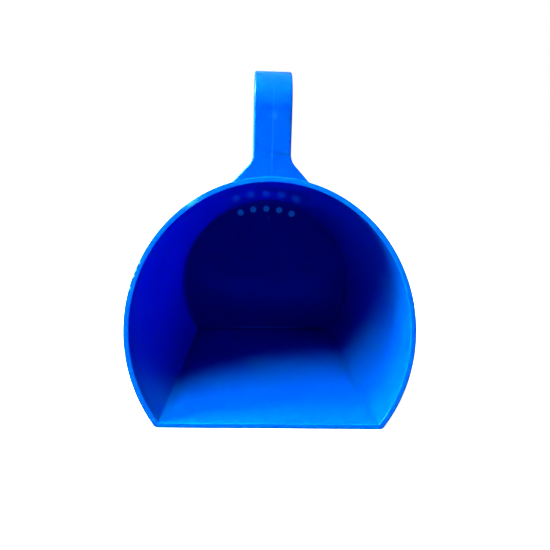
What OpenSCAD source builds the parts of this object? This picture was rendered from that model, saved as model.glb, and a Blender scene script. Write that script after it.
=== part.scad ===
// Enclosed feed scoop: an arched hood on a flat floor, closed at the back,
// open at a leaning mouth, with a loop handle standing on the roof.
// Frame: X across, Y from the mouth (-) to the back wall (+), Z up.
// The origin is at the centre of the box that the scoop stands in, at its base.

/* [Mouth] */
// Width across the mouth, over the rim
mouth_w = 190; // [150:1:230]
// Height of the mouth's whole oval, along the leaning mouth plane
mouth_oval_h = 198.7; // [160:0.1:240]
// Height of the oval's centre above the underside, along the mouth plane
mouth_centre_h = 63.7; // [45:0.1:75]
// Angle by which the mouth plane leans back from upright
mouth_lean = 15.6; // [5:0.1:22]
// Thickness of the rim around the mouth
rim_t = 3.6; // [3:0.1:6]
// Depth of the rim, square to the mouth plane
rim_depth = 5; // [3:0.5:10]
// How far the rim stands proud of the hood outside
rim_bead = 0.6; // [0.2:0.1:1]

/* [Body] */
// Length of the inside from the floor's front edge to the back wall
inside_l = 205; // [165:1:250]
// Thickness of the hood and the back wall
wall = 3; // [2:0.1:4]
// Thickness of the floor
floor_t = 3; // [2:0.1:5]

/* [Back wall] */
// Width of the back wall, inside
back_w = 153.8; // [125:0.1:175]
// Height of the back wall's whole oval, inside
back_oval_h = 155.9; // [130:0.1:180]
// Height of that oval's centre above the floor
back_centre_h = 44.9; // [35:0.1:60]

/* [Thin spots] */
// Number of round thin spots in the back wall
spot_count = 5; // [1:1:7]
// Diameter of a spot
spot_d = 5.6; // [4:0.1:7]
// Angle between spots, about the oval's centre
spot_step = 9.8; // [8:0.1:13]
// Distance from the top of the back wall to the middle spot's centre
spot_inset = 7.2; // [6:0.1:14]
// Depth of a spot, cut from inside
spot_depth = 1.8; // [0.5:0.1:1.9]

/* [Handle] */
// Distance from the floor's front edge to the handle's front face
handle_front = 84; // [70:1:95]
// Distance from the handle's rear face to the back wall's outer face
handle_rear_gap = 5; // [2:1:20]
// Height of the handle's top above the underside
handle_h = 230; // [205:0.5:260]
// Width of the handle's straps
strap_w = 27; // [20:0.5:36]
// Outside radius of the handle's two bends
bend_r = 27; // [20:1:35]
// Thickness of the outer strap
outer_strap_t = 4; // [3:0.1:5]
// Thickness of the inner strap
inner_strap_t = 3; // [2:0.1:4]
// Gap between the two straps
strap_gap = 7; // [4:0.5:10]
// Thickness of the web between the straps
web_t = 3.5; // [2:0.1:6]
// Thickness of a cross rib
rib_t = 2; // [1.5:0.1:3]
// How far a cross rib stays inside the straps' edges
rib_inset = 1.5; // [0.5:0.1:3]
// Number of cross ribs along the grip
grip_ribs = 4; // [2:1:7]
// Height above the roof at which the foot of a limb starts to flare
flare_h = 21; // [14:1:26]
// Radius at the start of the flare
flare_r = 12; // [8:1:16]
// Angle of the flare from upright
flare_angle = 43; // [30:1:50]

/* [Hidden] */
blue = [0.0, 0.28, 0.9];
arc_steps = 72;
flare_steps = 8;
foot_sink = 14;
skin = 0.01;
past = 1;
far = 600;
body_l = inside_l + wall;
mouth_a = mouth_w / 2;
mouth_b = mouth_oval_h / 2;
back_a = back_w / 2;
back_b = back_oval_h / 2;
back_z = floor_t + back_centre_h;
spot_r = back_b - spot_inset;
floor_v = floor_t / cos(mouth_lean);
// Highest point of the rim and of the hood's back end, and the roof line between them
rim_top_v = mouth_centre_h + mouth_b;
rim_top_y = rim_top_v * sin(mouth_lean);
rim_top_z = rim_top_v * cos(mouth_lean);
back_top_z = back_z + back_b + wall;
function roof_z(y) = rim_top_z + (back_top_z - rim_top_z) * (y - rim_top_y) / (inside_l - rim_top_y);
// Handle levels
handle_rear = body_l - handle_rear_gap;
section_t = outer_strap_t + strap_gap + inner_strap_t;
front_flare_z = roof_z(handle_front) + flare_h;
rear_flare_z = roof_z(handle_rear) + flare_h;
bend_z = handle_h - bend_r;

// Points of an oval with half axes a and b, its centre at height c, cut off flat at height lo
function oval(a, b, c, lo) =
    let (t0 = -asin((c - lo) / b))
    [for (i = [0:arc_steps])
        let (t = t0 + (180 - 2 * t0) * i / arc_steps)
        [a * cos(t), c + b * sin(t)]];

// A slice of the mouth's section, from depth d0 to depth d1 behind the mouth plane
module mouth_slice(inset, lo, d0, d1) {
    rotate([90 - mouth_lean, 0, 0])
        translate([0, 0, -d1])
            linear_extrude(d1 - d0)
                polygon(oval(mouth_a - inset, mouth_b - inset, mouth_centre_h, lo));
}

// A slice of the back's section, from y0 to y1
module back_slice(outset, lo, y0, y1) {
    translate([0, y1, 0])
        rotate([90, 0, 0])
            linear_extrude(y1 - y0)
                polygon(oval(back_a + outset, back_b + outset, back_z, lo));
}

module outer_form(inset) {
    intersection() {
        hull() {
            mouth_slice(inset, 0, 0, skin);
            back_slice(wall, 0, inside_l - skin, inside_l);
        }
        translate([-far / 2, -far / 2, 0])
            cube([far, far / 2 + inside_l, far]);
    }
}

module inner_form() {
    hull() {
        mouth_slice(rim_t, floor_v, -past, skin);
        back_slice(0, floor_t, inside_l - skin, inside_l + past);
    }
}

// Everything in front of the rim's rear face
module in_front_of_rim_back() {
    rotate([90 - mouth_lean, 0, 0])
        translate([-far / 2, -far / 2, -rim_depth])
            cube([far, far, far]);
}

module below_floor_top() {
    translate([-far / 2, -far / 2, -far + floor_t])
        cube([far, far, far]);
}

// Everything that the hood fills, up to the back wall's outer face
module body_space() {
    union() {
        outer_form(rim_bead);
        back_slice(wall, 0, inside_l - skin, body_l);
    }
}

module in_frame() {
    translate([0, -body_l / 2, 0])
        children();
}

module floor_panel() {
    color(blue)
        in_frame()
            difference() {
                intersection() {
                    outer_form(rim_bead);
                    below_floor_top();
                }
                in_front_of_rim_back();
            }
}

module hood_shell() {
    color(blue)
        in_frame()
            difference() {
                outer_form(rim_bead);
                inner_form();
                in_front_of_rim_back();
                below_floor_top();
            }
}

module spots() {
    for (i = [0:spot_count - 1]) {
        a = (i - (spot_count - 1) / 2) * spot_step;
        translate([spot_r * sin(a), inside_l + spot_depth, back_z + spot_r * cos(a)])
            rotate([90, 0, 0])
                cylinder(h = spot_depth + past, d = spot_d, $fn = 48);
    }
}

module back_wall() {
    color(blue)
        in_frame()
            difference() {
                back_slice(wall, 0, inside_l, body_l);
                spots();
            }
}

module mouth_rim() {
    color(blue)
        in_frame()
            difference() {
                intersection() {
                    outer_form(0);
                    in_front_of_rim_back();
                }
                inner_form();
            }
}

// Side view of the loop's outline, drawn in to depth d all round
module loop_side(d) {
    r = bend_r - d;
    y0 = handle_front + d;
    y1 = handle_rear - d;
    translate([y0, 0])
        square([y1 - y0, bend_z]);
    translate([y0 + r, 0])
        square([y1 - y0 - 2 * r, handle_h - d]);
    for (y = [y0 + r, y1 - r])
        translate([y, bend_z])
            circle(r = r, $fn = 96);
}

// A band of the loop, from depth d0 to depth d1, of width w across the scoop
module loop_band(d0, d1, w) {
    translate([-w / 2, 0, 0])
        rotate([90, 0, 90])
            linear_extrude(w)
                difference() {
                    loop_side(d0);
                    loop_side(d1);
                    translate([-far / 2, -far])
                        square([far, far]);
                }
}

// What lies under the handle's feet: the hood, its inside and everything below
module under_handle() {
    body_space();
    translate([-far / 2, 0, -far])
        cube([far, far, far + floor_t]);
}

// The space of one foot, to the height at which it starts to flare
module foot_zone(y, z) {
    translate([-far / 2, y, 0])
        cube([far, outer_strap_t, z]);
}

module handle_outer_strap() {
    color(blue)
        in_frame()
            difference() {
                loop_band(0, outer_strap_t, strap_w);
                foot_zone(handle_front, front_flare_z);
                foot_zone(handle_rear - outer_strap_t, rear_flare_z);
            }
}

module handle_web() {
    color(blue)
        in_frame()
            difference() {
                loop_band(outer_strap_t, outer_strap_t + strap_gap, web_t);
                under_handle();
            }
}

module handle_inner_strap() {
    color(blue)
        in_frame()
            difference() {
                loop_band(outer_strap_t + strap_gap, section_t, strap_w);
                under_handle();
            }
}

// Half outline of a foot's front view: down the strap, round the fillet and out along the flare
function flare_side(side, top) =
    let (w = strap_w / 2, depth = flare_h + foot_sink)
    let (run = depth - flare_r * sin(flare_angle))
    concat(
        [for (i = [0:flare_steps])
            let (t = flare_angle * i / flare_steps)
            [side * (w + flare_r * (1 - cos(t))), top - flare_r * sin(t)]],
        [[side * (w + flare_r * (1 - cos(flare_angle)) + run * tan(flare_angle)), top - depth]]);

function reversed(points) = [for (i = [len(points) - 1:-1:0]) points[i]];

// A strap's foot, which spreads below height top and ends on the roof
module foot(y, top) {
    difference() {
        translate([0, y + outer_strap_t, 0])
            rotate([90, 0, 0])
                linear_extrude(outer_strap_t)
                    polygon(concat(flare_side(1, top), reversed(flare_side(-1, top))));
        under_handle();
    }
}

module handle_front_root() {
    color(blue)
        in_frame()
            foot(handle_front, front_flare_z);
}

module handle_rear_root() {
    color(blue)
        in_frame()
            foot(handle_rear - outer_strap_t, rear_flare_z);
}

// A cross rib on each side of the web, from corner (y, z), dy deep and dz high
module rib_pair(y, z, dy, dz) {
    rib_w = (strap_w - web_t) / 2 - rib_inset;
    for (x = [web_t / 2, -web_t / 2 - rib_w])
        translate([x, y, z])
            cube([rib_w, dy, dz]);
}

module handle_ribs() {
    grip_start = handle_front + bend_r;
    pitch = (handle_rear - bend_r - grip_start) / (grip_ribs - 1);
    color(blue)
        in_frame() {
            for (i = [0:grip_ribs - 1])
                rib_pair(grip_start + i * pitch - rib_t / 2, handle_h - outer_strap_t - strap_gap,
                         rib_t, strap_gap);
            for (z = [front_flare_z, bend_z])
                rib_pair(handle_front + outer_strap_t, z - rib_t / 2, strap_gap, rib_t);
            for (z = [rear_flare_z, (rear_flare_z + bend_z) / 2, bend_z])
                rib_pair(handle_rear - outer_strap_t - strap_gap, z - rib_t / 2, strap_gap, rib_t);
        }
}

floor_panel();
hood_shell();
back_wall();
mouth_rim();
handle_front_root();
handle_outer_strap();
handle_web();
handle_inner_strap();
handle_ribs();
handle_rear_root();
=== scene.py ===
from math import cos, pi, radians, sin, tan

import bmesh
import bpy
from mathutils import Matrix, Vector


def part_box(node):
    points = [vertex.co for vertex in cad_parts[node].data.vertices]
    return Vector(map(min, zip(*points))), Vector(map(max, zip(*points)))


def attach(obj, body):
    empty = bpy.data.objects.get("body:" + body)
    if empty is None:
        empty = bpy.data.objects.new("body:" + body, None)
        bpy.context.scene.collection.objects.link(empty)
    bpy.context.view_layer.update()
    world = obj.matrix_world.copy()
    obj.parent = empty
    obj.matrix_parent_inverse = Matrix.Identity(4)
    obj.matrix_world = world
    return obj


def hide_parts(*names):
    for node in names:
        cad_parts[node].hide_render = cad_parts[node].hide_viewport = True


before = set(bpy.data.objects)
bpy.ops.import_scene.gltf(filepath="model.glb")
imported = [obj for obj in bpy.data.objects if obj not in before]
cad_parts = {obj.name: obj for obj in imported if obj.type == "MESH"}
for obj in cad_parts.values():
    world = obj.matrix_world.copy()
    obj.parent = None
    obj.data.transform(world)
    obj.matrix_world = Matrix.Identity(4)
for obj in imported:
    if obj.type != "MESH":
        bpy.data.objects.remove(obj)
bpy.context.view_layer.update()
mm = 0.001

# ---- Camera: at arm's length in front of the mouth, a little above the rim, looking down into
# the scoop. The small turn and tilt are those of a camera held by hand.
front_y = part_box("mouth_rim")[0][1]
camera_data = bpy.data.cameras.new("camera")
camera_data.sensor_width = 36
camera_data.lens = 39.27
camera = bpy.data.objects.new("camera", camera_data)
bpy.context.collection.objects.link(camera)
camera_place = (-15.3 * mm, front_y - 353.3 * mm, 178.2 * mm)
camera_turn, camera_dip, camera_tilt = radians(2.58), radians(12.36), radians(1.62)
camera.matrix_world = (Matrix.Translation(camera_place)
                       @ Matrix.Rotation(-camera_turn, 4, "Z")
                       @ Matrix.Rotation(pi / 2 - camera_dip, 4, "X")
                       @ Matrix.Rotation(camera_tilt, 4, "Z"))
bpy.context.scene.camera = camera
bpy.context.scene.view_settings.view_transform = "Standard"

# ---- Studio: a plain white floor under a white backdrop. One large soft lamp stands on the left
# and a weaker one in front on the left, high up, so the roof shades the back of the inside.
bpy.ops.object.select_all(action="DESELECT")
bpy.ops.mesh.primitive_plane_add(size=12, location=(0, 0, 0))
studio_floor = bpy.context.object
studio_floor.name = "studio_floor"
white_paper = bpy.data.materials.new("white_paper")
white_paper.use_nodes = True
paper_shader = white_paper.node_tree.nodes["Principled BSDF"]
paper_shader.inputs["Base Color"].default_value = (0.95, 0.95, 0.95, 1)
paper_shader.inputs["Roughness"].default_value = 0.9
paper_shader.inputs["Emission Color"].default_value = (1, 1, 1, 1)
paper_shader.inputs["Emission Strength"].default_value = 1.0
studio_floor.data.materials.append(white_paper)
studio_floor.visible_diffuse = False
studio_floor.visible_glossy = False

world = bpy.data.worlds.new("studio")
world.use_nodes = True
sky = world.node_tree
backdrop = sky.nodes["Background"]
backdrop.inputs["Color"].default_value = (1, 1, 1, 1)
# The room is white behind and above the scoop, and dark on the camera's side
direction = sky.nodes.new("ShaderNodeTexCoord").outputs["Generated"]
behind_and_above = sky.nodes.new("ShaderNodeVectorMath")
behind_and_above.operation = "DOT_PRODUCT"
behind_and_above.inputs[1].default_value = (0, 0.85, 0.53)
sky.links.new(direction, behind_and_above.inputs[0])
fade = sky.nodes.new("ShaderNodeMapRange")
fade.inputs["From Min"].default_value = 0.05
fade.inputs["From Max"].default_value = 0.5
fade.inputs["To Max"].default_value = 0.3
sky.links.new(behind_and_above.outputs["Value"], fade.inputs["Value"])
room = sky.nodes.new("ShaderNodeBackground")
room.inputs["Color"].default_value = (0.8, 0.9, 1, 1)
sky.links.new(fade.outputs["Result"], room.inputs["Strength"])
seen = sky.nodes.new("ShaderNodeLightPath")
mix = sky.nodes.new("ShaderNodeMixShader")
sky.links.new(seen.outputs["Is Camera Ray"], mix.inputs["Fac"])
sky.links.new(room.outputs["Background"], mix.inputs[1])
sky.links.new(backdrop.outputs["Background"], mix.inputs[2])
sky.links.new(mix.outputs["Shader"], sky.nodes["World Output"].inputs["Surface"])
bpy.context.scene.world = world
lamp_distance, lamps_aim_z = 1.2, 80 * mm


def soft_lamp(name, turn, rise, size, power):
    """A round lamp, turned to the left from the front and raised above the floor, in degrees.
    Its size is in metres and its power in watts."""
    turn, rise = radians(turn), radians(rise)
    place = lamp_distance * Vector((-sin(turn) * cos(rise), -cos(turn) * cos(rise), sin(rise)))
    data = bpy.data.lights.new(name, "AREA")
    data.shape = "DISK"
    data.size = size
    data.energy = power
    lamp = bpy.data.objects.new(name, data)
    lamp.location = place + Vector((0, 0, lamps_aim_z))
    lamp.rotation_euler = place.to_track_quat("Z", "Y").to_euler()
    bpy.context.collection.objects.link(lamp)


soft_lamp("left_lamp", turn=92, rise=39, size=0.5, power=66)
soft_lamp("key_lamp", turn=45, rise=57, size=0.6, power=29)
bpy.data.objects["key_lamp"].visible_glossy = False

# ---- Body form: the hood, floor, back wall and rim are one moulding in polypropylene. It is
# shaped here whole, as an outer and an inner skin joined round the mouth, and parted below
# along the lines where one plain region of the moulding turns into the next.
ring_points = 160
lean = radians(15.6)
inside_l, wall, floor_t = 205 * mm, 3 * mm, 3 * mm
back_in_y = front_y + inside_l
back_out_y = back_in_y + wall
mouth_half_w, mouth_half_h, mouth_c = 95 * mm, 99.35 * mm, 63.7 * mm
back_half_w, back_half_h, back_z = 76.9 * mm, 77.95 * mm, 47.9 * mm
rim_t, rim_depth, rim_bead = 3.6 * mm, 5 * mm, 0.6 * mm
outer_corner_r, inner_corner_r, back_corner_r, lip_r = 1.5 * mm, 0.6 * mm, 2.5 * mm, 0.5 * mm
# The centre of the rim's back rings rises by this share of their depth behind the mouth
centre_rise = 0.12
tiny = 0.01 * mm
mouth_point = Vector((0, front_y, 0))
mouth_up = Vector((0, sin(lean), cos(lean)))
mouth_out = Vector((0, -cos(lean), sin(lean)))
along, up = Vector((0, 1, 0)), Vector((0, 0, 1))


def only(piece):
    bpy.ops.object.select_all(action="DESELECT")
    piece.select_set(True)
    bpy.context.view_layer.objects.active = piece


def edit(piece, pick="FACE"):
    only(piece)
    bpy.ops.object.mode_set(mode="EDIT")
    bpy.ops.mesh.select_mode(type=pick)


def done():
    bpy.ops.object.mode_set(mode="OBJECT")


def select_parts(kind, test):
    """Selects the faces or edges of the piece being edited that pass a test."""
    piece = bpy.context.object
    bpy.ops.mesh.select_mode(type="EDGE" if kind == "edges" else "FACE")
    bpy.ops.mesh.select_all(action="DESELECT")
    mesh = bmesh.from_edit_mesh(piece.data)
    mesh.normal_update()
    for part in getattr(mesh, kind):
        part.select_set(bool(test(part)))
    bmesh.update_edit_mesh(piece.data)


def face_outwards():
    bpy.ops.mesh.select_all(action="SELECT")
    bpy.ops.mesh.normals_make_consistent(inside=False)


def on_plane(part, point, normal):
    return all(abs((v.co - point).dot(normal)) < tiny for v in part.verts)


def crosses(edge):
    """True of an edge that runs straight across the scoop."""
    return abs(edge.verts[0].co.y - edge.verts[1].co.y) < tiny


def oval_ring(name, half_w, half_h, centre, lean_back=0.0):
    """An oval ring of edges, upright or leaning back."""
    bpy.ops.object.select_all(action="DESELECT")
    bpy.ops.mesh.primitive_circle_add(vertices=ring_points, radius=1, location=centre,
                                      rotation=(pi / 2 - lean_back, 0, 0))
    oval = bpy.context.object
    oval.name = name
    oval.scale = (half_w, half_h, 1)
    bpy.ops.object.transform_apply(location=True, rotation=True, scale=True)
    return oval


def mouth_ring(name, inset, depth):
    """A ring inset from the mouth's oval, at a depth behind the mouth's plane."""
    taper = depth * (mouth_half_w - back_half_w - wall) / inside_l
    centre = mouth_point + mouth_up * (mouth_c + centre_rise * depth) - mouth_out * depth
    return oval_ring(name, mouth_half_w - inset - taper, mouth_half_h - inset - taper, centre, lean)


def join(pieces, name):
    only(pieces[0])
    for piece in pieces:
        piece.select_set(True)
    bpy.ops.object.join()
    pieces[0].name = name
    return pieces[0]


def skin(name, rings, floor_z, back_y, corner_r):
    """A closed skin through the rings, cut flat at the floor, its long corners and back edge round."""
    form = join(rings, name)
    edit(form, "EDGE")
    bpy.ops.mesh.select_all(action="SELECT")
    bpy.ops.mesh.bridge_edge_loops(number_cuts=0)
    bpy.ops.mesh.select_all(action="DESELECT")
    bpy.ops.mesh.select_non_manifold()
    bpy.ops.mesh.edge_face_add()
    face_outwards()
    bpy.ops.mesh.bisect(plane_co=(0, 0, floor_z), plane_no=up, clear_inner=True, use_fill=True)
    select_parts("edges", lambda e: on_plane(e, Vector((0, 0, floor_z)), up) and not crosses(e))
    bpy.ops.mesh.bevel(offset=corner_r, segments=4, affect="EDGES")
    select_parts("edges", lambda e: on_plane(e, Vector((0, back_y, 0)), along))
    bpy.ops.mesh.bevel(offset=back_corner_r, segments=5, affect="EDGES")
    done()
    return form


def open_mouth(form):
    edit(form)
    select_parts("faces", lambda f: on_plane(f, mouth_point, mouth_out))
    bpy.ops.mesh.delete(type="FACE")
    done()


def copy_of(whole, name):
    piece = whole.copy()
    piece.data = whole.data.copy()
    piece.name = name
    bpy.context.collection.objects.link(piece)
    return piece


def cut(piece, point, normal, drop=True):
    """Cuts a piece along a plane. The side that the normal points to is dropped and the cut closed,
    or both sides are kept as one."""
    edit(piece)
    bpy.ops.mesh.select_all(action="SELECT")
    bpy.ops.mesh.bisect(plane_co=point, plane_no=normal, clear_outer=drop, use_fill=drop)
    done()


outer = skin("outer_skin",
             [mouth_ring("bead_front", 0, 0), mouth_ring("bead_back", 0, rim_depth),
              mouth_ring("hood_front", rim_bead, rim_depth),
              oval_ring("hood_back", back_half_w + wall, back_half_h + wall, (0, back_out_y, back_z))],
             0, back_out_y, outer_corner_r)
inner = skin("inner_skin",
             [mouth_ring("lip", rim_t, 0),
              oval_ring("corner", back_half_w, back_half_h, (0, back_in_y, back_z))],
             floor_t, back_in_y, inner_corner_r)
body_space = copy_of(outer, "body_space")
open_mouth(outer)
open_mouth(inner)
shell = join([outer, inner], "shell")
edit(shell, "EDGE")
bpy.ops.mesh.select_all(action="DESELECT")
bpy.ops.mesh.select_non_manifold()
bpy.ops.mesh.fill()
bpy.ops.mesh.tris_convert_to_quads()
face_outwards()
# The rim's front edges are rounded, but for the one that scrapes along the ground
select_parts("edges", lambda e: on_plane(e, mouth_point, mouth_out)
             and sum(on_plane(f, mouth_point, mouth_out) for f in e.link_faces) == 1
             and not on_plane(e, Vector(), up))
bpy.ops.mesh.bevel(offset=lip_r, segments=3, affect="EDGES")
face_outwards()
done()

# ---- Mouth rim: the thick flat-faced band round the mouth, moulded with the body in the same
# polypropylene. Use has nicked its left edge, and a painted highlight lies higher up on the same side.


def add_group(name, inputs, outputs):
    """An empty shader group. Its inputs, given as name: default, are numbers or vectors."""
    group = bpy.data.node_groups.new(name, "ShaderNodeTree")
    for label, value in inputs.items():
        kind = "NodeSocketVector" if isinstance(value, tuple) else "NodeSocketFloat"
        socket = group.interface.new_socket(name=label, in_out="INPUT", socket_type=kind)
        socket.default_value = value
    for label in outputs:
        group.interface.new_socket(name=label, in_out="OUTPUT", socket_type="NodeSocketFloat")
    return group, group.nodes.new("NodeGroupInput"), group.nodes.new("NodeGroupOutput")


def add_node(tree, kind, links=(), **settings):
    """A node with its settings, and its inputs linked from sockets or set to values."""
    node = tree.nodes.new("ShaderNode" + kind)
    for name, value in settings.items():
        setattr(node, name, value)
    for place, value in dict(links).items():
        if isinstance(value, bpy.types.NodeSocket):
            tree.links.new(value, node.inputs[place])
        else:
            node.inputs[place].default_value = value
    return node


def noise(tree, where, scale, detail, roughness=0.5):
    return add_node(tree, "TexNoise", {"Vector": where, "Scale": scale, "Detail": detail,
                                       "Roughness": roughness}).outputs["Fac"]


def above(tree, value, low, high):
    """0 where the value is low, 1 where it is high, with a soft step between. With low the larger
    of the two, the step goes down."""
    step = add_node(tree, "MapRange", {"Value": value, "From Min": low, "From Max": high},
                    interpolation_type="SMOOTHSTEP")
    return step.outputs["Result"]


def maths(tree, operation, a, b):
    return add_node(tree, "Math", {0: a, 1: b}, operation=operation).outputs[0]


# The face that the steel mould leaves: slow waves from uneven cooling, and a fine grain
moulded_face, face_in, face_out = add_group(
    "moulded_face", {"Waves": 0.6, "Grain": 0.03}, ("Height", "Tone", "Dullness"))
place = add_node(moulded_face, "TexCoord").outputs["Object"]
slow = noise(moulded_face, place, scale=22, detail=1)
middle_waves = noise(moulded_face, place, scale=160, detail=2)
fine = noise(moulded_face, place, scale=1500, detail=3, roughness=0.6)
height = maths(moulded_face, "ADD", maths(moulded_face, "MULTIPLY", slow, face_in.outputs["Waves"]),
               maths(moulded_face, "MULTIPLY", fine, face_in.outputs["Grain"]))
tone = above(moulded_face, noise(moulded_face, place, scale=14, detail=2), 0.3, 0.7)
moulded_face.links.new(height, face_out.inputs["Height"])
moulded_face.links.new(tone, face_out.inputs["Tone"])
moulded_face.links.new(above(moulded_face, middle_waves, 0.25, 0.75), face_out.inputs["Dullness"])

# Light scuffs from feed and from stacking: short thin strokes, gathered in patches
scuffs, scuff_in, scuff_out = add_group("scuffs", {"Amount": 0.3}, ("Mask",))
place = add_node(scuffs, "TexCoord").outputs["Object"]
turned = add_node(scuffs, "Mapping", {"Vector": place, "Rotation": (0.4, 0.3, 0.9),
                                      "Scale": (90, 700, 700)}).outputs["Vector"]
strokes = above(scuffs, noise(scuffs, turned, scale=1, detail=1), 0.68, 0.74)
patches = above(scuffs, noise(scuffs, place, scale=35, detail=2), 0.5, 0.62)
scuffs.links.new(maths(scuffs, "MULTIPLY", maths(scuffs, "MULTIPLY", strokes, patches),
                       scuff_in.outputs["Amount"]), scuff_out.inputs["Mask"])

# Specks: dust and paler pellets of pigment, about a millimetre across and centimetres apart
specks, speck_in, speck_out = add_group("specks", {"Amount": 0.5}, ("Mask",))
place = add_node(specks, "TexCoord").outputs["Object"]
cells = add_node(specks, "TexVoronoi", {"Vector": place, "Scale": 130})
dots = above(specks, cells.outputs["Distance"], 0.11, 0.05)
lot = add_node(specks, "SeparateColor", {"Color": cells.outputs["Color"]}).outputs["Red"]
chosen = above(specks, lot, 0.93, 0.94)
specks.links.new(maths(specks, "MULTIPLY", maths(specks, "MULTIPLY", dots, chosen),
                       speck_in.outputs["Amount"]), speck_out.inputs["Mask"])

# A soft patch round one place: 1 at its centre, falling to 0 at its reach along each axis
patch, patch_in, patch_out = add_group("patch", {"Centre": (0, 0, 0), "Reach": (1, 1, 1)}, ("Mask",))
place = add_node(patch, "TexCoord").outputs["Object"]
offset = add_node(patch, "VectorMath", {0: place, 1: patch_in.outputs["Centre"]},
                  operation="SUBTRACT").outputs[0]
ratio = add_node(patch, "VectorMath", {0: offset, 1: patch_in.outputs["Reach"]},
                 operation="DIVIDE").outputs[0]
away = add_node(patch, "VectorMath", {0: ratio}, operation="LENGTH").outputs["Value"]
patch.links.new(above(patch, away, 1, 0), patch_out.inputs["Mask"])


def patch_mask(tree, centre, reach):
    return add_node(tree, "Group", {"Centre": centre, "Reach": reach}, node_tree=patch).outputs["Mask"]


def tint(tree, mask, first, second):
    """The first colour where the mask is 0 and the second where it is 1. Either may be linked."""
    blend = add_node(tree, "Mix", {0: mask, 6: first, 7: second}, data_type="RGBA")
    return blend.outputs[2]


scuffed_blue, speck_blue = (0.01, 0.25, 0.8, 1), (0.03, 0.32, 0.8, 1)
uneven_dullness, scuff_dullness = 0.03, 0.3
light_reach, light_depth = (0.05, 0.2, 1.0), 7 * mm
relief_h = 0.12 * mm


def plastic(name, pale, deep, rough, waves, grain, wear, dust):
    """Glossy blue plastic, coloured all through, that light passes a few millimetres into. What
    differs over it comes from the three groups."""
    made = bpy.data.materials.new(name)
    made.use_nodes = True
    tree = made.node_tree
    shader = tree.nodes["Principled BSDF"]
    face = add_node(tree, "Group", {"Waves": waves, "Grain": grain}, node_tree=moulded_face)
    worn = add_node(tree, "Group", {"Amount": wear}, node_tree=scuffs)
    dusty = add_node(tree, "Group", {"Amount": dust}, node_tree=specks)
    colour = tint(tree, face.outputs["Tone"], pale, deep)
    colour = tint(tree, worn.outputs["Mask"], colour, scuffed_blue)
    colour = tint(tree, dusty.outputs["Mask"], colour, speck_blue)
    tree.links.new(colour, shader.inputs["Base Color"])
    dull = maths(tree, "ADD", maths(tree, "MULTIPLY", face.outputs["Dullness"], uneven_dullness), rough)
    dull = maths(tree, "ADD", maths(tree, "MULTIPLY", worn.outputs["Mask"], scuff_dullness), dull)
    tree.links.new(dull, shader.inputs["Roughness"])
    shader.inputs["Subsurface Weight"].default_value = 1.0
    shader.inputs["Subsurface Radius"].default_value = light_reach
    shader.inputs["Subsurface Scale"].default_value = light_depth
    shader.inputs["Specular Tint"].default_value = (0.0, 0.5, 1.0, 1)
    relief = add_node(tree, "Bump", {"Height": face.outputs["Height"], "Distance": relief_h,
                                     "Strength": 1.0})
    tree.links.new(relief.outputs["Normal"], shader.inputs["Normal"])
    return made


def mark(material, centre, reach, shade, strength):
    """Blends a colour into a material round one place."""
    tree = material.node_tree
    base = tree.nodes["Principled BSDF"].inputs["Base Color"]
    mask = maths(tree, "MULTIPLY", patch_mask(tree, centre, reach), strength)
    tree.links.new(tint(tree, mask, base.links[0].from_socket, shade), base)


def carve(piece, tool):
    """Takes a tool's space out of a piece."""
    only(piece)
    fit = piece.modifiers.new("fit", "BOOLEAN")
    fit.object = tool
    fit.operation = "DIFFERENCE"
    fit.solver = "EXACT"
    bpy.ops.object.modifier_apply(modifier=fit.name)


def rim_edge(turn):
    """A point on the rim's outer front edge, at an angle above level on its left side."""
    return (mouth_point + mouth_up * (mouth_c + mouth_half_h * sin(turn))
            - Vector((mouth_half_w * cos(turn), 0, 0)))


smooth_below = radians(32)


def place_piece(piece, node, material):
    """Gives a finished piece its material and its smooth shading, hangs it under the body's root and hides
    the node it stands in for.
    """
    only(piece)
    bpy.ops.object.shade_smooth_by_angle(angle=smooth_below)
    level = piece.modifiers.new("level", "WEIGHTED_NORMAL")
    level.keep_sharp = True
    bpy.ops.object.modifier_apply(modifier=level.name)
    piece.data.materials.clear()
    piece.data.materials.append(material)
    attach(piece, "root")
    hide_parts(node)


# The rim is painted lighter than the hood, though both are one moulding: painted light on its front band
rim_plastic = plastic("rim_plastic", (0.0, 0.17, 0.82, 1), (0.0, 0.158, 0.78, 1),
                      rough=0.2, waves=0.6, grain=0.04, wear=0.3, dust=0.3)
seam_behind_rim = 0.3 * mm
rim_back = mouth_point - mouth_out * (rim_depth + seam_behind_rim)
rim = copy_of(shell, "rim")
cut(rim, rim_back, -mouth_out)
# Nicks, each at its own angle round the left edge, with paler torn plastic about it
nick_turns, nick_r, torn_r = (14.5, 19.3, 21.6, 24.6), 0.6 * mm, 2.1 * mm
# pale_and_highlight_blue colours real paler marks (gate, mould line, flow mark) and also painted highlights
torn_blue, pale_and_highlight_blue = (0.15, 0.75, 0.95, 1), (0.03, 0.42, 0.9, 1)
nicks = []
for turn in nick_turns:
    nick = rim_edge(radians(turn))
    bpy.ops.object.select_all(action="DESELECT")
    bpy.ops.mesh.primitive_ico_sphere_add(subdivisions=2, radius=nick_r, location=nick)
    bpy.ops.object.transform_apply(location=True)
    nicks.append(bpy.context.object)
    mark(rim_plastic, nick, (torn_r, torn_r, torn_r), torn_blue, 1.0)
nick_tools = join(nicks, "nick_tools")
carve(rim, nick_tools)
bpy.data.objects.remove(nick_tools)
# A painted highlight higher up on the same side, as a paler stretch of the rim's colour
rim_highlight_place = rim_edge(radians(56)) + Vector((1.2, 0, -2)) * mm
mark(rim_plastic, rim_highlight_place, (10 * mm, 9 * mm, 7 * mm), pale_and_highlight_blue, 0.8)
place_piece(rim, "mouth_rim", rim_plastic)

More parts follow.
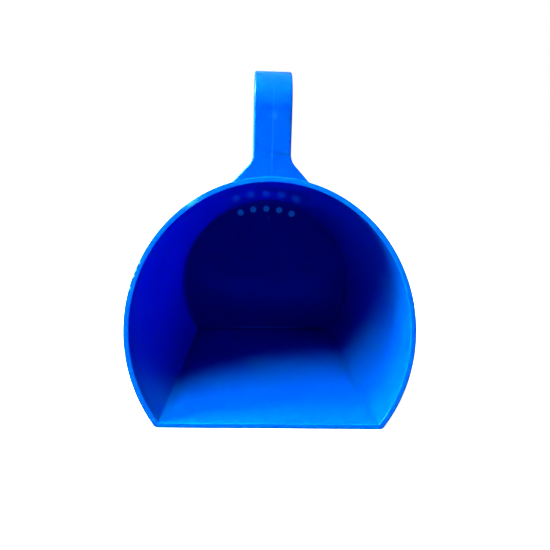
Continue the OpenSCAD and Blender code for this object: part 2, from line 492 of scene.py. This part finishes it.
# ---- Hood: the arched wall that runs from the rim to the back wall, 3 mm thick in glossy
# polypropylene. It narrows to the back, so that the steel core draws out of the mouth.
seam_from_back, floor_zone_h = 6 * mm, 10 * mm
back_seam = Vector((0, back_in_y - seam_from_back, 0))
floor_front_w, floor_back_w = 66 * mm, 58 * mm
middle = copy_of(shell, "middle")
cut(middle, rim_back, mouth_out)
cut(middle, back_seam, along)
seams = []
for side in (-1, 1):
    start = Vector((side * floor_front_w, front_y, 0))
    end = Vector((side * floor_back_w, back_in_y, 0))
    seams.append((start, (end - start).cross(Vector((0, 0, side))).normalized()))
hood = copy_of(middle, "hood")
for start, outward in seams:
    cut(hood, start, outward, drop=False)
edit(hood)
select_parts("faces", lambda f: f.calc_center_median().z < floor_zone_h
             and all((f.calc_center_median() - p).dot(n) < 0 for p, n in seams))
bpy.ops.mesh.delete(type="FACE")
bpy.ops.mesh.select_mode(type="EDGE")
bpy.ops.mesh.select_all(action="DESELECT")
bpy.ops.mesh.select_non_manifold()
bpy.ops.mesh.fill_holes(sides=0)
done()
hood_plastic = plastic("hood_plastic", (0.0, 0.116, 0.68, 1), (0.0, 0.108, 0.65, 1),
                       rough=0.0, waves=0.2, grain=0.003, wear=0.1, dust=0.3)
place_piece(hood, "hood_shell", hood_plastic)

# ---- Floor: the flat plate that the scoop slides on, moulded with the hood. Its top is the part
# that feed wears most, so it has more fine scuffs than the walls.
floor = copy_of(middle, "floor")
for start, outward in seams:
    cut(floor, start, outward)
cut(floor, Vector((0, 0, floor_zone_h)), up)
# The floor is painted a little lighter than the hood, though both are one moulding: painted light on the
# lit floor
floor_plastic = plastic("floor_plastic", (0.0, 0.116, 0.74, 1), (0.0, 0.108, 0.71, 1),
                        rough=0.12, waves=0.5, grain=0.03, wear=0.16, dust=0.8)
place_piece(floor, "floor_panel", floor_plastic)
# The rim's inner face is the front end of the hood's and the floor's, and looks the same
rim.data.materials.append(hood_plastic)
rim.data.materials.append(floor_plastic)
hood_index, floor_index, level_cos = 1, 2, 0.9
for face in rim.data.polygons:
    depth = (mouth_point - face.center).dot(mouth_out)
    inward = face.center.x * face.normal.x + (face.center.z - mouth_c) * face.normal.z < 0
    if depth > 1.1 * lip_r and inward:
        level = abs(face.center.x) < floor_front_w and face.normal.z > level_cos
        face.material_index = floor_index if level else hood_index

# ---- Back wall: the flat end plate. Five round pockets near its top leave only a thin skin of
# plastic, which passes more light than the full wall; their faces are painted paler and given a faint
# painted glow. A flow mark runs below the middle one.
spot_count, spot_r, spot_step = 5, 2.8 * mm, radians(9.8)
spot_arc, spot_depth, spot_edge_r, spot_slack = 70.75 * mm, 1.8 * mm, 0.3 * mm, 0.1 * mm
back = copy_of(shell, "back")
cut(back, back_seam, -along)
bpy.ops.object.select_all(action="DESELECT")
bpy.ops.mesh.primitive_cylinder_add(vertices=32, radius=spot_r, depth=2 * spot_depth,
                                    rotation=(pi / 2, 0, 0))
bpy.ops.object.transform_apply(rotation=True)
pocket = bpy.context.object
spot_centres, pockets = [], []
for i in range(spot_count):
    turn = (i - (spot_count - 1) / 2) * spot_step
    spot_centres.append(Vector((spot_arc * sin(turn), back_in_y, back_z + spot_arc * cos(turn))))
    tool = copy_of(pocket, "pocket_tool")
    only(tool)
    tool.location = spot_centres[-1]
    bpy.ops.object.transform_apply(location=True)
    pockets.append(tool)
pocket_tools = join(pockets, "pocket_tools")
carve(back, pocket_tools)
bpy.data.objects.remove(pocket)
bpy.data.objects.remove(pocket_tools)


def at_spot(point):
    return any((point - c).xz.length < spot_r + spot_slack for c in spot_centres)


edit(back, "EDGE")
select_parts("edges", lambda e: on_plane(e, Vector((0, back_in_y, 0)), along)
             and all(at_spot(v.co) for v in e.verts))
bpy.ops.mesh.bevel(offset=spot_edge_r, segments=2, affect="EDGES")
done()
# The back wall is painted darker than the hood, though both are one moulding: painted shade at the back of
# the inside
back_plastic = plastic("back_plastic", (0.0, 0.085, 0.5, 1), (0.0, 0.08, 0.47, 1),
                       rough=0.1, waves=0.5, grain=0.02, wear=0.1, dust=0.3)
flow_mark = spot_centres[spot_count // 2] + Vector((2.3, 0, -8.7)) * mm
mark(back_plastic, flow_mark, (1.6 * mm, 2 * mm, 4.5 * mm), pale_and_highlight_blue, 0.3)
# A painted highlight along the middle stretch of the round corner between the back wall and the floor
corner_highlight_place = (-2 * mm, back_in_y - 1 * mm, floor_t + 1 * mm)
mark(back_plastic, corner_highlight_place, (60 * mm, 2 * mm, 1.6 * mm), pale_and_highlight_blue, 0.8)
place_piece(back, "back_wall", back_plastic)
# Painted glow: a paler colour and a faint emission stand in for light that the thin skin lets through
painted_glow_plastic = plastic("painted_glow_plastic", (0.0, 0.3, 0.75, 1), (0.0, 0.26, 0.7, 1),
                       rough=0.3, waves=0.4, grain=0.04, wear=0.1, dust=0.1)
glow_shader = painted_glow_plastic.node_tree.nodes["Principled BSDF"]
glow_shader.inputs["Emission Color"].default_value = (0.0, 0.4, 1.0, 1)
glow_shader.inputs["Emission Strength"].default_value = 0.07
back.data.materials.append(painted_glow_plastic)
# The pockets' bottoms and sides, which pass more light, get the painted paler colour and glow, and the
# round edges at their mouths don't
glow_index = 1
for face in back.data.polygons:
    depth = face.center.y - back_in_y
    if spot_edge_r + spot_slack < depth < spot_depth + spot_slack and at_spot(face.center):
        face.material_index = glow_index
bpy.data.objects.remove(shell)
bpy.data.objects.remove(middle)

# ---- Handle strap: the wide outer face of the loop, bent twice through a right angle, which the
# heel of the hand bears on. A fine raised line down its middle is where the two halves of the
# mould met.
strap_low, strap_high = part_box("handle_outer_strap")
handle_front_y, handle_rear_y = strap_low[1], strap_high[1]
handle_top = strap_high[2]
strap_w = strap_high[0] - strap_low[0]
front_foot_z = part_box("handle_front_root")[1][2]
rear_foot_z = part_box("handle_rear_root")[1][2]
bend_r, outer_t, gap_t, inner_t = 27 * mm, 4 * mm, 7 * mm, 3 * mm
strap_edge_r, line_w, line_h = 1.3 * mm, 0.9 * mm, 0.08 * mm
bend_z = handle_top - bend_r
grip_l = handle_rear_y - handle_front_y - 2 * bend_r
bend_steps = 18


def profile(name, place, width, thick, corner_r, line_side=0):
    """A level face with round corners, the section that a bar starts from. line_side is the side
    of it, towards -Y or +Y, that has the mould line."""
    bpy.ops.object.select_all(action="DESELECT")
    bpy.ops.mesh.primitive_plane_add(size=1, location=place)
    bar = bpy.context.object
    bar.name = name
    bar.scale = (width, thick - (line_h if line_side else 0), 1)
    bar.location.y -= line_side * line_h / 2
    bpy.ops.object.transform_apply(location=True, rotation=True, scale=True)
    edit(bar, "VERT")
    bpy.ops.mesh.select_all(action="SELECT")
    if corner_r:
        bpy.ops.mesh.bevel(offset=corner_r, segments=5, affect="VERTICES")
    if line_side:
        for x in (-line_w, -line_w / 2, 0, line_w / 2, line_w):
            bpy.ops.mesh.select_all(action="SELECT")
            bpy.ops.mesh.bisect(plane_co=(x, 0, 0), plane_no=(1, 0, 0))
        bpy.ops.mesh.select_all(action="DESELECT")
        mesh = bmesh.from_edit_mesh(bar.data)
        for v in mesh.verts:
            v.select_set(abs(v.co.x) < line_w / 4 and (v.co.y - place[1]) * line_side > 0)
        bmesh.update_edit_mesh(bar.data)
        bpy.ops.transform.translate(value=(0, line_side * line_h, 0))
    bpy.ops.mesh.select_mode(type="FACE")
    bpy.ops.mesh.select_all(action="SELECT")
    return bar


def pull(x, y, z):
    bpy.ops.mesh.extrude_region_move(TRANSFORM_OT_translate={"value": (x, y, z)})


def bend(centre_y):
    bpy.ops.mesh.spin(steps=bend_steps, angle=pi / 2, center=(0, centre_y, bend_z), axis=(1, 0, 0))


def close_up():
    bpy.ops.mesh.select_all(action="SELECT")
    bpy.ops.mesh.remove_doubles(threshold=1e-6)
    face_outwards()
    done()


def loop_bar(name, depth, thick, width, corner_r, front_z, rear_z, line_side=0):
    """A bar swept up the front limb, along the grip and down the rear limb, at a depth in the loop."""
    bar = profile(name, (0, handle_front_y + depth + thick / 2, front_z), width, thick, corner_r, line_side)
    pull(0, 0, bend_z - front_z)
    bend(handle_front_y + bend_r)
    pull(0, grip_l, 0)
    bend(handle_rear_y - bend_r)
    pull(0, 0, rear_z - bend_z)
    close_up()
    return bar


# painted_shade_blue is painted shade: it darkens the top of the handle's bend, where the lamps light it
# most, and a patch beside the gate
painted_shade_blue = (0.0, 0.078, 0.76, 1)
gate = Vector((1.5 * mm, handle_front_y, bend_z - 5.5 * mm))
beside_gate = gate + Vector((-6, 0, 6)) * mm
bend_shade_place = (0, handle_front_y + 10 * mm, handle_top)
mould_line = (0, handle_front_y, gate.z - 25 * mm)


def handle_plastic(name, wear):
    """The body's plastic on the handle, painted lighter than the body's as painted light: a little duller,
    with painted shade deepening the colour over its bend and in a patch beside the gate, and paler at the
    gate, where the plastic went in, and along the mould line."""
    # The handle's colour is painted lighter than the body's, though all is one moulding: painted light on
    # the strap
    made = plastic(name, (0.0, 0.165, 0.84, 1), (0.0, 0.155, 0.8, 1),
                   rough=0.3, waves=0.8, grain=0.05, wear=wear, dust=0.3)
    tree = made.node_tree
    gate_stub = patch_mask(tree, gate, (4 * mm, 4 * mm, 5 * mm))
    mark(made, gate, (3 * mm, 3 * mm, 4.5 * mm), pale_and_highlight_blue, 0.35)
    # Painted shade: a darker patch just beside the gate
    mark(made, beside_gate, (9 * mm, 4 * mm, 5 * mm), painted_shade_blue, 0.4)
    # Painted shade over the top of the bend
    mark(made, bend_shade_place, (40 * mm, 40 * mm, 38 * mm), painted_shade_blue, 1.0)
    mark(made, mould_line, (line_w, 12 * mm, 90 * mm), pale_and_highlight_blue, 0.2)
    relief = tree.nodes["Bump"]
    height = relief.inputs["Height"].links[0].from_socket
    tree.links.new(maths(tree, "ADD", height, gate_stub), relief.inputs["Height"])
    return made


outer_strap = loop_bar("outer_strap", 0, outer_t, strap_w, strap_edge_r, front_foot_z, rear_foot_z, -1)
place_piece(outer_strap, "handle_outer_strap", handle_plastic("strap_plastic", 0.5))

# ---- Handle feet: each limb's strap spreads at 43 degrees into a fan that stands on the roof,
# in one piece with the hood. The mould line runs on down both of them.
flare_r, flare_angle, foot_depth, flare_steps = 12 * mm, radians(43), 34 * mm, 8
foot_plastic = handle_plastic("foot_plastic", 0.3)


def foot(name, y, top, line_side):
    """A foot, spread from its neck at the top into a fan and cut to the roof's curve."""
    piece = profile(name, (0, y, top), strap_w, outer_t, strap_edge_r, line_side)
    turns = [flare_angle * (i + 1) / flare_steps for i in range(flare_steps)]
    levels = [(flare_r * sin(turn), flare_r * (1 - cos(turn))) for turn in turns]
    rest = foot_depth - levels[-1][0]
    levels.append((foot_depth, levels[-1][1] + rest * tan(flare_angle)))
    drop, spread = 0.0, 0.0
    for next_drop, next_spread in levels:
        pull(0, 0, drop - next_drop)
        mesh = bmesh.from_edit_mesh(piece.data)
        for v in mesh.verts:
            if v.select and abs(v.co.x) > line_w:
                v.co.x += (next_spread - spread) * (1 if v.co.x > 0 else -1)
        bmesh.update_edit_mesh(piece.data)
        drop, spread = next_drop, next_spread
    close_up()
    carve(piece, body_space)
    return piece


front_foot = foot("front_foot", handle_front_y + outer_t / 2, front_foot_z, -1)
place_piece(front_foot, "handle_front_root", foot_plastic)
rear_foot = foot("rear_foot", handle_rear_y - outer_t / 2, rear_foot_z, 1)
place_piece(rear_foot, "handle_rear_root", foot_plastic)

# ---- Web and inner strap: behind the outer strap, a thin web in the middle plane and a second
# strap make the loop an I-beam in section, all in the same shot of plastic.
web_t, inner_edge_r = 3.5 * mm, 1.2 * mm
web_plastic = handle_plastic("web_plastic", 0.2)
web = loop_bar("web", outer_t, gap_t, web_t, 0, back_z, back_z)
carve(web, body_space)
place_piece(web, "handle_web", web_plastic)
inner_strap = loop_bar("inner_strap", outer_t + gap_t, inner_t, strap_w, inner_edge_r, back_z, back_z)
carve(inner_strap, body_space)
place_piece(inner_strap, "handle_inner_strap", web_plastic)

# ---- Cross ribs: thin plates either side of the web that tie the two straps together, moulded
# with them. They stand back from the straps' edges, so the hand doesn't feel them.
rib_t, rib_inset, rib_edge_r, grip_ribs = 2 * mm, 1.5 * mm, 0.5 * mm, 4
rib_w = (strap_w - web_t) / 2 - rib_inset
ribs = []


def rib_pair(y, z, size_y, size_z):
    """Two ribs at one place in the loop, one each side of the web."""
    for side in (-1, 1):
        bpy.ops.object.select_all(action="DESELECT")
        bpy.ops.mesh.primitive_cube_add(size=1, location=(side * (web_t + rib_w) / 2, y, z))
        rib = bpy.context.object
        rib.scale = (rib_w, size_y, size_z)
        bpy.ops.object.transform_apply(location=True, rotation=True, scale=True)
        edit(rib, "EDGE")
        select_parts("edges", lambda e: all(abs(v.co.x) > web_t for v in e.verts))
        bpy.ops.mesh.bevel(offset=rib_edge_r, segments=3, affect="EDGES")
        done()
        ribs.append(rib)


for i in range(grip_ribs):
    rib_pair(handle_front_y + bend_r + grip_l * i / (grip_ribs - 1), handle_top - outer_t - gap_t / 2,
             rib_t, gap_t)
for z in (front_foot_z, bend_z):
    rib_pair(handle_front_y + outer_t + gap_t / 2, z, gap_t, rib_t)
for z in (rear_foot_z, (rear_foot_z + bend_z) / 2, bend_z):
    rib_pair(handle_rear_y - outer_t - gap_t / 2, z, gap_t, rib_t)
all_ribs = join(ribs, "ribs")
place_piece(all_ribs, "handle_ribs", web_plastic)
bpy.data.objects.remove(body_space)
